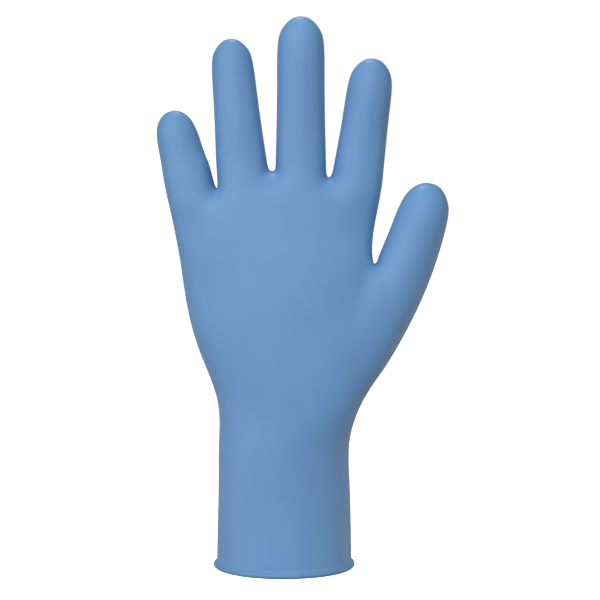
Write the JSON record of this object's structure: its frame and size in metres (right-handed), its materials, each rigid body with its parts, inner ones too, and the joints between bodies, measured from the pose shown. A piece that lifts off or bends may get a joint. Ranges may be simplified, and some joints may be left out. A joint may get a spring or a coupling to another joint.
{
  "type": "nitrile exam glove",
  "caption": "Disposable examination glove of thin blue film, hollow to the fingertips, with a long cuff ending in a rolled bead; fits either hand.",
  "frame": {"origin": "centre of the cuff's opening, in the plane that the bead ends in", "axes": "+Z from the cuff to the fingertips, +X towards the thumb, -Y towards the viewer of the picture"},
  "size_m": [0.1482, 0.0562, 0.2803],
  "materials": {
    "nitrile_film": "satin"
  },
  "bodies": {
    "root": {"glove": "nitrile_film"}
  },
  "joints": []
}
